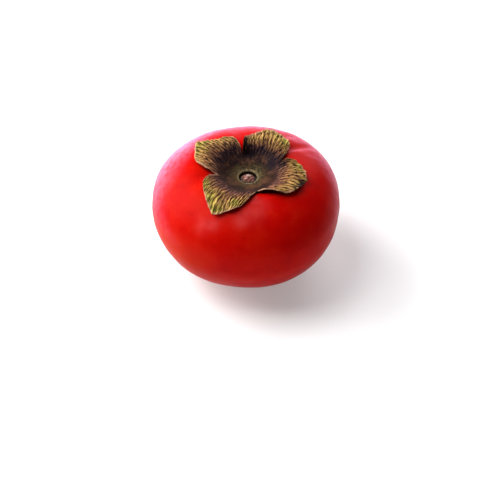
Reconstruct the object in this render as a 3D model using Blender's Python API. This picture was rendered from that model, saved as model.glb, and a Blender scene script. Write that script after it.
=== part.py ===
"""A ripe persimmon: the fruit, its dry four-lobed calyx, the stub of its stalk and the tip of its style.

Run it with: blender --background --python part.py
Units are metres, +Z is up, and the origin is the middle of the flat spot that the fruit rests on.
"""

import math

import bmesh
import bpy
from mathutils import Vector

MM = 0.001

# The fruit: a flattened globe whose upper and lower halves meet at its widest line.
FRUIT_RADIUS = 40.3 * MM
EQUATOR_HEIGHT = 32.1 * MM  # of the widest line above the flat spot
CROWN = 24.0 * MM  # height of the upper half before the bowl is sunk into it
CROWN_FULLNESS = 2.15  # 2 is an ellipse, and more is squarer at the shoulder
BELLY = 33.4 * MM  # depth of the lower half before the flat spot cuts it
BOWL_DEPTH = 12.3 * MM
BOWL_WIDTH = 13.0 * MM
FLAT_RADIUS = 11.0 * MM
DIMPLE_RADIUS = 5.5 * MM
DIMPLE_DEPTH = 1.6 * MM

# Where the stalk joined, and the bowl is deepest. The fruit's own axis passes a little to one side.
STALK_PLACE = (0.9 * MM, -1.8 * MM)

# The fruit isn't quite round: (waves round the fruit, height as a share of the radius, azimuth of a crest).
PLAN_WAVES = ((1, 0.009, 0.0), (3, 0.009, 60.0), (4, 0.010, 45.0))
# Folds that run out over the shoulder between the lobes: (azimuth, depth, half-width in degrees).
FOLDS = ((32.0, 1.1 * MM, 6.5), (98.0, 0.6 * MM, 8.0), (205.0, 0.5 * MM, 8.0), (287.0, 0.5 * MM, 9.0))
FOLD_MIDDLE = 25.0 * MM  # distance from the axis at which a fold is deepest
FOLD_LENGTH = 8.0 * MM

FRUIT_SIDES = 60
FRUIT_STEP = 3.0 * MM  # distance between rings along the profile

# The calyx: a disc with a raised collar round the stalk, which splits at four notches into four lobes.
GAP = 0.35 * MM  # clear space between neighbouring pieces
LEAF_THICKNESS = 0.8 * MM
COLLAR_RADIUS = 5.2 * MM  # where the crest leaves the skin. It leans inwards with the bowl, to about 4 mm.
COLLAR_HEIGHT = 1.4 * MM
COLLAR_INNER_SLOPE = 0.7 * MM
COLLAR_OUTER_SLOPE = 2.8 * MM
DISC_RINGS = (1.8, 3.3, 4.1, 4.6, 5.2, 6.4, 8.0)  # radii in millimetres round the stalk
COLUMNS = 16  # across one lobe
ROWS = 8  # from the disc to the margin

# Places on the calyx are (x, y) in millimetres, seen from above, and every list below runs anticlockwise.
# A lobe's edge goes from one notch to the next. It passes through its tip, the third point, and bends towards
# the two points on either side of it. The lobe is widest at its shoulders, midway between those two.
NOTCHES = ((12.3, 0.5), (-1.4, 9.2), (-10.8, -5.4), (4.4, -15.8))
LOBES = (
    {
        "edge": ((16.9, 3.8), (19.2, 14.6), (11.6, 20.2), (1.4, 17.4), (-2.1, 12.4)),
        "right_lift": -0.3, "left_lift": 2.6, "tip_lift": 1.0, "middle_lift": 0.6,
        "waves": 2.6, "wave_height": 0.5, "phase": 0.4,
    },
    {
        "edge": ((-2.8, 15.4), (-12.6, 15.4), (-20.6, 12.0), (-22.2, 4.0), (-18.0, -5.2)),
        "right_lift": 0.6, "left_lift": 0.5, "tip_lift": 0.5, "middle_lift": 0.5,
        "waves": 2.2, "wave_height": 0.4, "phase": 1.9,
    },
    {
        "edge": ((-16.8, -7.4), (-18.0, -17.2), (-13.4, -27.4), (-5.0, -27.2), (1.9, -21.4)),
        "right_lift": 0.3, "left_lift": 0.4, "tip_lift": 0.8, "middle_lift": 0.4,
        "waves": 2.4, "wave_height": 0.4, "phase": 3.4,
    },
    {
        "edge": ((9.2, -18.8), (20.4, -18.0), (24.7, -9.6), (23.4, 0.2), (17.6, 2.0)),
        "right_lift": 1.5, "left_lift": 1.2, "tip_lift": 1.3, "middle_lift": 0.6,
        "waves": 2.8, "wave_height": 0.4, "phase": 5.2,
    },
)

# The stub of the stalk stands in the collar.
STUB_RADIUS = 2.8 * MM
STUB_HEIGHT = 1.5 * MM
STUB_SIDES = 24
# Its outline from the middle of its top to its foot: (share of the radius, share of the height).
STUB_PROFILE = ((0.62, 0.72), (0.86, 1.0), (1.0, 0.85), (1.04, 0.45), (1.0, 0.0))
STUB_CHIPS = 0.12  # how far its broken top rises and falls, as a share of its height
KNOB_RADIUS = 1.6 * MM
KNOB_HEIGHT = 0.8 * MM
KNOB_OFFSET = (-0.25 * MM, 0.1 * MM)  # from the middle of the stub
KNOB_LEVEL = 0.7  # of the knob's foot, as a share of the stub's height

# The style tip is a small dry cone in the dimple under the fruit.
STYLE_RADIUS = 0.8 * MM
STYLE_TAPER = 0.35  # radius at the tip as a share of the radius at the root
STYLE_LENGTH = 1.0 * MM
STYLE_SIDES = 12

# Base colour, roughness and metallic value of each piece.
MATERIALS = {
    "fruit": ((0.72, 0.035, 0.012), 0.28, 0.0),
    "calyx": ((0.16, 0.11, 0.035), 0.75, 0.0),
    "stem_stub": ((0.12, 0.065, 0.03), 0.7, 0.0),
    "style_tip": ((0.02, 0.013, 0.01), 0.8, 0.0),
}


def clear_scene():
    for obj in list(bpy.data.objects):
        bpy.data.objects.remove(obj, do_unlink=True)


def material(name):
    colour, roughness, metallic = MATERIALS[name]
    made = bpy.data.materials.new(name)
    made.use_nodes = True
    shader = made.node_tree.nodes["Principled BSDF"]
    shader.inputs["Base Color"].default_value = (*colour, 1.0)
    shader.inputs["Roughness"].default_value = roughness
    shader.inputs["Metallic"].default_value = metallic
    return made


def add_object(name, mesh_builder):
    """Turns a finished bmesh into an object of the scene, shaded smooth, with its own material."""
    mesh = bpy.data.meshes.new(name)
    mesh_builder.to_mesh(mesh)
    mesh_builder.free()
    mesh.shade_smooth()
    mesh.set_sharp_from_angle(angle=math.radians(40))
    mesh.materials.append(material(name))
    obj = bpy.data.objects.new(name, mesh)
    bpy.context.scene.collection.objects.link(obj)
    return obj


def bell(x):
    return math.exp(-x * x)


def angle_between(a, b):
    """The turn from azimuth b to azimuth a in degrees, from -180 to 180."""
    return (a - b + 180.0) % 360.0 - 180.0


def plan_radius(azimuth):
    """The fruit's widest radius in the direction of an azimuth in degrees."""
    waves = sum(share * math.cos(math.radians(n * (azimuth - crest))) for n, share, crest in PLAN_WAVES)
    return FRUIT_RADIUS * (1.0 + waves)


def fold_depth(radius, azimuth):
    along = bell((radius - FOLD_MIDDLE) / FOLD_LENGTH)
    return along * sum(depth * bell(angle_between(azimuth, at) / width) for at, depth, width in FOLDS)


def from_stalk(x, y):
    return math.hypot(x - STALK_PLACE[0], y - STALK_PLACE[1])


def skin_height(x, y):
    """Height of the upper skin above the origin."""
    radius, azimuth = math.hypot(x, y), azimuth_of((x, y))
    share = min(radius / plan_radius(azimuth), 1.0)
    crown = CROWN * (1.0 - share**CROWN_FULLNESS) ** (1.0 / CROWN_FULLNESS)
    bowl = BOWL_DEPTH * bell(from_stalk(x, y) / BOWL_WIDTH)
    return EQUATOR_HEIGHT + crown - bowl - fold_depth(radius, azimuth)


def belly_height(x, y):
    """Height of the lower skin above the origin, outside the flat spot."""
    share = min(math.hypot(x, y) / plan_radius(azimuth_of((x, y))), 1.0)
    return max(EQUATOR_HEIGHT - BELLY * math.sqrt(1.0 - share * share), 0.0)


def dimple_height(radius):
    return DIMPLE_DEPTH * (0.5 + 0.5 * math.cos(math.pi * radius / DIMPLE_RADIUS))


def azimuth_of(place):
    return math.degrees(math.atan2(place[1], place[0]))


def polar(radius, azimuth, height=0.0):
    turn = math.radians(azimuth)
    return Vector((radius * math.cos(turn), radius * math.sin(turn), height))


def on_skin(height_at, radius, azimuth):
    """The point of the upper or lower skin at a distance from the axis and an azimuth in degrees."""
    place = polar(radius, azimuth)
    return Vector((place.x, place.y, height_at(place.x, place.y)))


def evenly_spaced(points, step):
    """Points about one step apart along a polyline of (radius, height), with both its ends kept."""
    lengths = [0.0]
    for a, b in zip(points, points[1:]):
        lengths.append(lengths[-1] + math.dist(a, b))
    count = max(2, round(lengths[-1] / step))
    spaced = []
    piece = 0
    for i in range(count + 1):
        target = lengths[-1] * i / count
        while piece < len(points) - 2 and lengths[piece + 1] < target:
            piece += 1
        share = (target - lengths[piece]) / (lengths[piece + 1] - lengths[piece])
        a, b = points[piece], points[piece + 1]
        spaced.append(tuple(p + (q - p) * share for p, q in zip(a, b)))
    return spaced


def ring_shares(height_at, first, last):
    """Radii, as shares of the fruit's radius, that are evenly spaced along one side of its profile."""
    samples = 400
    line = []
    for i in range(samples + 1):
        quarter = first + (last - first) * i / samples
        radius = FRUIT_RADIUS * math.sin(quarter)
        line.append((radius, height_at(radius, 0.0)))
    return [radius / FRUIT_RADIUS for radius, _ in evenly_spaced(line, FRUIT_STEP)]


def surface_of_rings(builder, top, rings, bottom):
    """Closes a stack of equal rings of points, highest first, between a top point and a bottom point."""
    top_vertex = builder.verts.new(top)
    bottom_vertex = builder.verts.new(bottom)
    loops = [[builder.verts.new(point) for point in ring] for ring in rings]
    sides = len(loops[0])
    for i in range(sides):
        after = (i + 1) % sides
        builder.faces.new((top_vertex, loops[0][i], loops[0][after]))
        for upper, lower in zip(loops, loops[1:]):
            builder.faces.new((upper[i], lower[i], lower[after], upper[after]))
        builder.faces.new((loops[-1][i], bottom_vertex, loops[-1][after]))


def make_fruit():
    azimuths = [360.0 * i / FRUIT_SIDES for i in range(FRUIT_SIDES)]
    flat_angle = math.asin(FLAT_RADIUS / FRUIT_RADIUS)
    upper_shares = ring_shares(skin_height, 0.0, math.pi / 2)[1:]
    lower_shares = ring_shares(belly_height, math.pi / 2, flat_angle)[1:-1]
    rings = []
    for height_at, shares in ((skin_height, upper_shares), (belly_height, lower_shares)):
        rings += [[on_skin(height_at, share * plan_radius(a), a) for a in azimuths] for share in shares]
    rings.append([polar(FLAT_RADIUS, a) for a in azimuths])
    dimple_steps = 3
    for step in range(dimple_steps):
        radius = DIMPLE_RADIUS * (1.0 - step / dimple_steps)
        rings.append([polar(radius, a, dimple_height(radius)) for a in azimuths])
    builder = bmesh.new()
    surface_of_rings(builder, (0, 0, skin_height(0.0, 0.0)), rings, (0, 0, DIMPLE_DEPTH))
    return add_object("fruit", builder)


def skin_point(place, distance):
    """The point at a distance out from the upper skin, straight off the place (x, y)."""
    x, y = place
    reach = 0.1 * MM
    slope_x = (skin_height(x + reach, y) - skin_height(x - reach, y)) / (2 * reach)
    slope_y = (skin_height(x, y + reach) - skin_height(x, y - reach)) / (2 * reach)
    out = Vector((-slope_x, -slope_y, 1.0)).normalized()
    return Vector((x, y, skin_height(x, y))) + out * distance


def disc_thickness(radius):
    """The calyx is a thin leaf, thickened by the collar round the stalk."""
    slope = COLLAR_INNER_SLOPE if radius < COLLAR_RADIUS else COLLAR_OUTER_SLOPE
    return LEAF_THICKNESS + COLLAR_HEIGHT * bell((radius - COLLAR_RADIUS) / slope)


def bent(start, control, end, share):
    """The place part of the way along a curve that leaves start towards control and comes to end from it."""
    return tuple(
        a * (1.0 - share) ** 2 + 2.0 * b * share * (1.0 - share) + c * share**2
        for a, b, c in zip(start, control, end)
    )


def notch(index):
    return NOTCHES[index % len(NOTCHES)]


def midway(a, b):
    return tuple((p + q) / 2.0 for p, q in zip(a, b))


def from_middle(place):
    """A place as seen from the stalk, in millimetres."""
    return place[0] - STALK_PLACE[0] / MM, place[1] - STALK_PLACE[1] / MM


def base_place(index, side):
    """Where a lobe leaves the disc, along an arc from its right notch (side 0) to its left one (side 1)."""
    start, end = from_middle(notch(index)), from_middle(notch(index + 1))
    turn = angle_between(azimuth_of(end), azimuth_of(start)) % 360.0
    radius = math.hypot(*start) + (math.hypot(*end) - math.hypot(*start)) * side
    place = polar(radius, azimuth_of(start) + turn * side)
    return place.x + STALK_PLACE[0] / MM, place.y + STALK_PLACE[1] / MM


def lobe_place(index, side, out):
    """A place in a lobe, blended from the lobe's four edges.

    side runs from 0 at its right edge to 1 at its left, and out from 0 at the disc to 1 at the margin.
    """
    right_notch, left_notch = notch(index), notch(index + 1)
    right_low, right_high, tip, left_high, left_low = LOBES[index]["edge"]
    right_shoulder, left_shoulder = midway(right_low, right_high), midway(left_low, left_high)
    right = bent(right_notch, right_low, right_shoulder, out)
    left = bent(left_notch, left_low, left_shoulder, out)
    if side < 0.5:
        margin = bent(right_shoulder, right_high, tip, side * 2.0)
    else:
        margin = bent(tip, left_high, left_shoulder, side * 2.0 - 1.0)
    base = base_place(index, side)
    corners = (right_notch, left_notch, right_shoulder, left_shoulder)
    shares = ((1 - out) * (1 - side), (1 - out) * side, out * (1 - side), out * side)
    return tuple(
        (1 - out) * base[i] + out * margin[i] + (1 - side) * right[i] + side * left[i]
        - sum(share * corner[i] for share, corner in zip(shares, corners))
        for i in range(2)
    )


def lobe_lift(index, side, out):
    """How far the lobe's underside stands off the skin in millimetres, beyond the gap."""
    lobe = LOBES[index]
    across = 2.0 * side - 1.0
    edge = lobe["left_lift"] if across > 0.0 else lobe["right_lift"]
    swing = math.sin(lobe["waves"] * math.pi * across + lobe["phase"]) + 1.0
    wave = lobe["wave_height"] * swing * out**1.5
    rise = lobe["middle_lift"] * math.sin(math.pi * out) + lobe["tip_lift"] * out**2 * (1.0 - abs(across))
    return max(rise + wave + edge * abs(across) ** 2.2 * math.sin(0.8 * math.pi * out), 0.0)


def calyx_sheet():
    """The calyx as a flat sheet: its places, how far each is lifted off the skin, and its triangles."""
    middle = (STALK_PLACE[0] / MM, STALK_PLACE[1] / MM)
    places, lifts = [middle], [0.0]

    def add(place, lift=0.0):
        places.append(tuple(place))
        lifts.append(lift)
        return len(places) - 1

    def spoke(index, side):
        """The points from near the stalk out to where the lobe starts."""
        base = base_place(index, side)
        x, y = from_middle(base)
        reach = math.hypot(x, y)
        on_rings = [add((middle[0] + x * r / reach, middle[1] + y * r / reach)) for r in DISC_RINGS]
        return on_rings + [add(base)]

    outs = [row / ROWS for row in range(1, ROWS + 1)]
    notch_spokes = [spoke(index, 0.0) for index in range(len(LOBES))]
    triangles = []
    for index in range(len(LOBES)):
        columns = []
        for column in range(COLUMNS + 1):
            side = column / COLUMNS
            if column in (0, COLUMNS):
                inner = notch_spokes[(index + column // COLUMNS) % len(LOBES)]
            else:
                inner = spoke(index, side)
            outer = [add(lobe_place(index, side, out), lobe_lift(index, side, out)) for out in outs]
            columns.append(inner + outer)
        for column, (right, left) in enumerate(zip(columns, columns[1:])):
            triangles.append((0, right[0], left[0]))
            for a, b, c, d in zip(right, right[1:], left[1:], left):
                # The two halves of a lobe are split the opposite way, so that it stays even about its middle.
                triangles += [(a, b, d), (b, c, d)] if column < COLUMNS // 2 else [(a, b, c), (a, c, d)]
    return places, lifts, triangles


def make_calyx():
    """Lays the sheet over the skin and thickens it, with both faces split into the same triangles."""
    places, lifts, triangles = calyx_sheet()
    builder = bmesh.new()
    lower = [
        builder.verts.new(skin_point((x * MM, y * MM), GAP + lift * MM))
        for (x, y), lift in zip(places, lifts)
    ]
    under = [builder.faces.new([lower[i] for i in triangle]) for triangle in triangles]
    builder.normal_update()
    upper = [
        builder.verts.new(vertex.co + vertex.normal * disc_thickness(from_stalk(x * MM, y * MM)))
        for vertex, (x, y) in zip(lower, places)
    ]
    partner = dict(zip(lower, upper))
    for edge in [edge for edge in builder.edges if edge.is_boundary]:
        loop = edge.link_loops[0]
        start, end = loop.vert, loop.link_loop_next.vert
        builder.faces.new((start, end, partner[end], partner[start]))
    bmesh.ops.reverse_faces(builder, faces=under)
    for triangle in triangles:
        builder.faces.new([upper[i] for i in triangle])
    return add_object("calyx", builder)


def stub_ring(share, level):
    """One ring of the stub, as heights above its foot. It isn't quite round, and its top is chipped."""
    ring = []
    for i in range(STUB_SIDES):
        turn = 2.0 * math.pi * i / STUB_SIDES
        uneven = 1.0 + 0.05 * math.cos(2 * turn + 0.5) + 0.03 * math.cos(5 * turn)
        height = STUB_HEIGHT * level * (1.0 + STUB_CHIPS * math.sin(3 * turn))
        ring.append(polar(STUB_RADIUS * share * uneven, math.degrees(turn), height))
    return ring


def knob_ring(share, level):
    azimuths = [360.0 * i / STUB_SIDES for i in range(STUB_SIDES)]
    height = STUB_HEIGHT * KNOB_LEVEL + KNOB_HEIGHT * level
    return [polar(KNOB_RADIUS * share, azimuth, height) + Vector((*KNOB_OFFSET, 0.0)) for azimuth in azimuths]


def make_stem_stub():
    """A short woody peg with a chipped top, and on it the knob of its vessels, a little off its middle."""
    seat = GAP + LEAF_THICKNESS + GAP
    stalk = Vector((*STALK_PLACE, 0.0))
    round_foot = [polar(STUB_RADIUS, 360.0 * i / STUB_SIDES) + stalk for i in range(STUB_SIDES)]
    foot = stalk + Vector((0.0, 0.0, max(skin_height(place.x, place.y) for place in round_foot) + seat))
    rings = [knob_ring(0.55, 0.85), knob_ring(1.0, 0.2)]
    rings += [stub_ring(share, level) for share, level in STUB_PROFILE]
    rings = [[point + foot for point in ring] for ring in rings]
    top = foot + Vector((*KNOB_OFFSET, STUB_HEIGHT * KNOB_LEVEL + KNOB_HEIGHT))
    bottom = (*STALK_PLACE, skin_height(*STALK_PLACE) + seat)
    builder = bmesh.new()
    surface_of_rings(builder, top, rings, bottom)
    return add_object("stem_stub", builder)


def make_style_tip():
    """A cone that hangs from the roof of the dimple and ends above the flat spot's plane."""
    roof = DIMPLE_DEPTH - GAP
    builder = bmesh.new()
    bmesh.ops.create_cone(
        builder, cap_ends=True, segments=STYLE_SIDES,
        radius1=STYLE_RADIUS * STYLE_TAPER, radius2=STYLE_RADIUS, depth=STYLE_LENGTH,
    )
    bmesh.ops.translate(builder, verts=builder.verts, vec=(0.0, 0.0, roof - STYLE_LENGTH / 2))
    return add_object("style_tip", builder)


def main():
    clear_scene()
    make_fruit()
    make_calyx()
    make_stem_stub()
    make_style_tip()


main()
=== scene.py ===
"""The looks of a ripe persimmon: waxy red skin, dry ribbed calyx, broken stalk stub and withered style.

Shapes are worked out in millimetres, by the formulas of the part's own solids, and then turned into metres.
"""

import math

import bpy
import numpy as np
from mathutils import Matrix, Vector, noise


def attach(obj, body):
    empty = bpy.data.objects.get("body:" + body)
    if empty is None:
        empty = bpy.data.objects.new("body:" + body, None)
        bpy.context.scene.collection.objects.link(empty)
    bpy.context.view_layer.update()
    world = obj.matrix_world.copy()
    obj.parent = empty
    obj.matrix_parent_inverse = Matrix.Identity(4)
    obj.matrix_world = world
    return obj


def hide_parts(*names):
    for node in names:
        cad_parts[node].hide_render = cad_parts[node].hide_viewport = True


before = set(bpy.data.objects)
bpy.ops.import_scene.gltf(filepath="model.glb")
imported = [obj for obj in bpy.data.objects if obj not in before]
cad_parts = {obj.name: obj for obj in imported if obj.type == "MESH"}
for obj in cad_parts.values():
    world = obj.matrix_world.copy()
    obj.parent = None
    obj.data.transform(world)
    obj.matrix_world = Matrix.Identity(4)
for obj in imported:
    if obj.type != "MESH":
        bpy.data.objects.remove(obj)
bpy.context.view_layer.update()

MM = 0.001

# The fruit's form, as in the part.
FRUIT_RADIUS = 40.3
EQUATOR_HEIGHT = 32.1
CROWN = 24.0
CROWN_FULLNESS = 2.15
BELLY = 33.4
BOWL_DEPTH = 12.3
BOWL_WIDTH = 13.0
FLAT_RADIUS = 11.0
DIMPLE_RADIUS = 5.5
DIMPLE_DEPTH = 1.6
STALK = np.array((0.9, -1.8))
PLAN_WAVES = ((1, 0.009, 0.0), (3, 0.009, 60.0), (4, 0.010, 45.0))
FOLDS = ((32.0, 1.1, 6.5), (98.0, 0.6, 8.0), (205.0, 0.5, 8.0), (287.0, 0.5, 9.0))
FOLD_MIDDLE = 25.0
FOLD_LENGTH = 8.0

# Low swellings and dents of the skin as (height, width, seed), and fine wrinkles on one shoulder.
SWELLS = ((0.28, 17.0, 3.0), (0.096, 6.0, 8.0))
WRINKLE_AZIMUTH = 38.0
WRINKLE_SPREAD = 24.0  # degrees to either side
WRINKLE_MIDDLE = 30.0  # from the axis
WRINKLE_LENGTH = 5.5
WRINKLE_HEIGHT = 0.5

# Where soft pale highlights are painted on the skin, as (x, y, z, radius).
PAINTED_GLOSS_SPOTS = (
    (1.5, -27.0, 50.0, 4.5), (5.5, -23.5, 51.3, 3.6), (-2.5, -30.5, 48.5, 2.6), (-17.6, -29.3, 45.8, 3.6),
    (-13.0, -30.5, 46.6, 2.4), (-34.5, 0.0, 44.5, 6.0), (-30.0, 13.0, 48.0, 6.0),
)

# The calyx's form, as in the part. A thinner leaf lies where the part's own one is.
GAP = 0.35
LOWEST_GAP = 0.2
LEAF_THICKNESS = 0.75
MARGIN_THINNING = 0.35
NOTCHES = ((12.3, 0.5), (-1.4, 9.2), (-10.8, -5.4), (4.4, -15.8))
LOBES = (
    {
        "edge": ((16.9, 3.8), (19.2, 14.6), (11.6, 20.2), (1.4, 17.4), (-2.1, 12.4)),
        "right_lift": -0.3, "left_lift": 2.6, "tip_lift": 1.0, "middle_lift": 0.6,
        "waves": 2.6, "wave_height": 0.5, "phase": 0.4,
    },
    {
        "edge": ((-2.8, 15.4), (-12.6, 15.4), (-20.6, 12.0), (-22.2, 4.0), (-18.0, -5.2)),
        "right_lift": 0.6, "left_lift": 0.5, "tip_lift": 0.5, "middle_lift": 0.5,
        "waves": 2.2, "wave_height": 0.4, "phase": 1.9,
    },
    {
        "edge": ((-16.8, -7.4), (-18.0, -17.2), (-13.4, -27.4), (-5.0, -27.2), (1.9, -21.4)),
        "right_lift": 0.3, "left_lift": 0.4, "tip_lift": 0.8, "middle_lift": 0.4,
        "waves": 2.4, "wave_height": 0.4, "phase": 3.4,
    },
    {
        "edge": ((9.2, -18.8), (20.4, -18.0), (24.7, -9.6), (23.4, 0.2), (17.6, 2.0)),
        "right_lift": 1.5, "left_lift": 1.2, "tip_lift": 1.3, "middle_lift": 0.6,
        "waves": 2.8, "wave_height": 0.4, "phase": 5.2,
    },
)
COLLAR_RADIUS = 5.2
COLLAR_HEIGHT = 1.4
COLLAR_INNER_SLOPE = 0.7
COLLAR_OUTER_SLOPE = 2.8

# The leaf's relief: ribs, broad buckles, fine crumples, and the bulge of a rolled margin.
RIB_HEIGHT = 0.50
BUCKLE_HEIGHT = 0.35
CRUMPLE_HEIGHT = 0.12
ROLL_HEIGHT = 0.45
RELIEF_BELOW = 0.35  # share of the relief that shows on the underside
RIBS_ACROSS = 17  # coarse ones, with a fine one between each two towards the margin

# Places where a margin curls further up, or down, than its lobe, as (x, y, radius, lift).
CURLS = (
    (23.6, -12.5, 2.6, -1.0), (2.6, 19.0, 2.2, 0.6), (-19.5, -3.0, 3.0, 0.7), (-20.5, 11.5, 2.5, 0.6),
)

# Patches on the calyx as (x, y, radius): where it dried nearly black, where it is still
# greenish, where its margin is rolled up, and where a curled margin is painted pale, as a painted
# highlight.
DARK_PATCHES = (
    (-5.7, 8.9, 3.4), (-9.0, 5.6, 2.4), (0.4, 11.4, 2.0), (0.0, 13.6, 1.2), (6.4, 11.4, 1.8),
    (3.4, 9.6, 2.0), (13.9, 4.6, 2.6), (15.5, -0.3, 2.2), (12.2, 1.0, 2.2), (24.2, -11.0, 2.0),
    (23.0, -13.0, 2.0), (21.4, -14.6, 1.5), (-7.2, 7.6, 3.0), (2.0, 9.0, 2.4), (8.6, 9.0, 2.2),
    (-12.0, 3.4, 2.2), (10.6, 6.2, 2.4),
)
GREEN_PATCHES = (
    (-21.0, 9.5, 3.6), (-17.5, 13.5, 2.0), (-17.5, -13.0, 2.4), (-15.0, -20.5, 3.0), (-12.5, -26.0, 2.6),
    (14.5, 18.5, 3.4), (17.0, 14.0, 2.2), (8.5, 20.5, 1.8), (22.5, -3.0, 2.2), (-5.0, -23.5, 1.8),
)
ROLLED_PATCHES = ((-1.0, 15.6, 1.4), (0.6, 17.6, 1.8), (3.0, 19.0, 1.8))
MARGIN_HIGHLIGHT_PATCHES = ROLLED_PATCHES + ((-19.5, -2.0, 2.5), (18.0, -17.5, 1.8), (12.0, 20.5, 2.0))

# The stub of the stalk, and the knobs on its broken top as (x, y, radius, height) round its middle.
STUB_RADIUS = 3.05
STUB_HEIGHT = 1.6
STUB_SEAT = 0.3  # how far its foot stays clear of the calyx
STUB_FOOT = ((1.04, 0.3), (1.02, 0.15), (0.98, 0.0))  # as (share of its radius, share of its height)
STUB_KNOBS = (
    (-0.75, -0.45, 1.35, 0.75), (-0.1, 0.85, 0.85, 1.0), (0.85, 0.75, 0.75, 0.95), (-1.7, 0.7, 0.9, 0.55),
    (1.2, -0.5, 0.85, 0.5), (2.1, 0.2, 0.6, 0.6), (0.5, -1.7, 0.75, 0.45), (-1.5, -1.6, 0.7, 0.4),
    (1.6, 1.6, 0.6, 0.5),
)

# The style, as (distance below its upper end, radius). Its tip leans a little to one side.
STYLE_PROFILE = ((0.0, 0.85), (0.2, 0.7), (0.45, 0.55), (0.7, 0.42), (0.9, 0.3), (1.0, 0.16))
STYLE_GAP = 0.2  # between its upper end and the dimple's roof
STYLE_LEAN = 0.12

# How finely each piece is divided.
SKIN_SIDES = 256
SKIN_RINGS = (96, 64)  # above and below the widest line
DIMPLE_RINGS = 12
LOBE_COLUMNS = 132
LOBE_ROWS = 52
DISC_RADII = (1.0, 2.0, 3.0, 3.6, 4.0, 4.3, 4.5, 4.7, 4.9, 5.05, 5.2, 5.4, 5.7, 6.1, 6.6, 7.3, 8.0)
DISC_ROWS = len(DISC_RADII) + 6
STUB_SIDES = 120
STUB_RINGS = 40
STYLE_SIDES = 32

# The camera, and where the fruit's middle lies in the square frame, in pixels from its top left corner.
FRAME_SIDE = 500
FRUIT_PIXEL = (246.0, 201.5)
PIXEL = 80.0 / 188.0 * MM
CAMERA_DISTANCE = 0.72  # metres
CAMERA_ELEVATION = 42.0
SENSOR_WIDTH = 36.0

FLOOR_HALF = 3.0  # metres from its middle to an edge


def bell(x):
    return np.exp(-x * x)


def smooth_step(low, high, x):
    share = np.clip((x - low) / (high - low), 0.0, 1.0)
    return share * share * (3.0 - 2.0 * share)


def noise_at(points, scale, seed=0.0, detail=0):
    """Smooth noise from about -1 to 1 at each point, one value per row of (x, y, z)."""
    offset = Vector((seed, seed * 1.7, seed * 2.3))
    if detail:
        values = [noise.fractal(Vector(p) / scale + offset, 0.6, 2.0, detail) for p in points]
    else:
        values = [noise.noise(Vector(p) / scale + offset) for p in points]
    return np.array(values)


def noise_over(x, y, scale=1.0, seed=0.0, detail=0):
    """Noise over two equal grids of coordinates."""
    points = np.stack((x.ravel(), y.ravel(), np.zeros(x.size)), axis=1)
    return noise_at(points, scale, seed, detail).reshape(x.shape)


# The fruit's surface

def turn_between(a, b):
    return (a - b + 180.0) % 360.0 - 180.0


def plan_radius(azimuth):
    waves = sum(share * np.cos(np.radians(n * (azimuth - crest))) for n, share, crest in PLAN_WAVES)
    return FRUIT_RADIUS * (1.0 + waves)


def skin_height(x, y):
    radius, azimuth = np.hypot(x, y), np.degrees(np.arctan2(y, x))
    share = np.minimum(radius / plan_radius(azimuth), 1.0)
    crown = CROWN * (1.0 - share**CROWN_FULLNESS) ** (1.0 / CROWN_FULLNESS)
    bowl = BOWL_DEPTH * bell(np.hypot(x - STALK[0], y - STALK[1]) / BOWL_WIDTH)
    folds = sum(depth * bell(turn_between(azimuth, at) / width) for at, depth, width in FOLDS)
    return EQUATOR_HEIGHT + crown - bowl - folds * bell((radius - FOLD_MIDDLE) / FOLD_LENGTH)


def belly_height(x, y):
    share = np.minimum(np.hypot(x, y) / plan_radius(np.degrees(np.arctan2(y, x))), 1.0)
    return np.maximum(EQUATOR_HEIGHT - BELLY * np.sqrt(1.0 - share * share), 0.0)


def skin_normal(x, y):
    reach = 0.1
    slope_x = (skin_height(x + reach, y) - skin_height(x - reach, y)) / (2 * reach)
    slope_y = (skin_height(x, y + reach) - skin_height(x, y - reach)) / (2 * reach)
    out = np.stack((-slope_x, -slope_y, np.ones_like(slope_x)), axis=-1)
    return out / np.linalg.norm(out, axis=-1, keepdims=True)


# Building meshes

def object_from(name, points, faces, attributes=None):
    """An object from points in millimetres, with a named float per vertex for each attribute."""
    mesh = bpy.data.meshes.new(name)
    mesh.from_pydata((np.asarray(points) * MM).tolist(), [], faces)
    for attribute, values in (attributes or {}).items():
        layer = mesh.attributes.new(attribute, "FLOAT", "POINT")
        layer.data.foreach_set("value", np.asarray(values, dtype=np.float32))
    mesh.shade_smooth()
    mesh.update()
    made = bpy.data.objects.new(name, mesh)
    bpy.context.scene.collection.objects.link(made)
    return made


def closed_rings(rings, top, bottom):
    """Points and faces of a closed skin over equal rings, highest first, with a point at either end."""
    sides = len(rings[0])
    points = np.concatenate(list(rings) + [[top], [bottom]])
    top_point, bottom_point = len(points) - 2, len(points) - 1
    faces = []
    for start in range(0, top_point - sides, sides):
        for side in range(sides):
            after = (side + 1) % sides
            faces.append((start + side, start + sides + side, start + sides + after, start + after))
    last = top_point - sides
    for side in range(sides):
        after = (side + 1) % sides
        faces.append((top_point, side, after))
        faces.append((last + side, bottom_point, last + after))
    return points, faces


# The skin

def evenly_spaced_radii(height_at, first, last, count):
    """Shares of the fruit's radius that lie evenly along its profile between two polar angles."""
    radius = FRUIT_RADIUS * np.sin(np.linspace(first, last, 2000))
    height = height_at(radius, np.zeros_like(radius))
    travelled = np.concatenate(([0.0], np.cumsum(np.hypot(np.diff(radius), np.diff(height)))))
    return np.interp(np.linspace(0.0, travelled[-1], count), travelled, radius) / FRUIT_RADIUS


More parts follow.
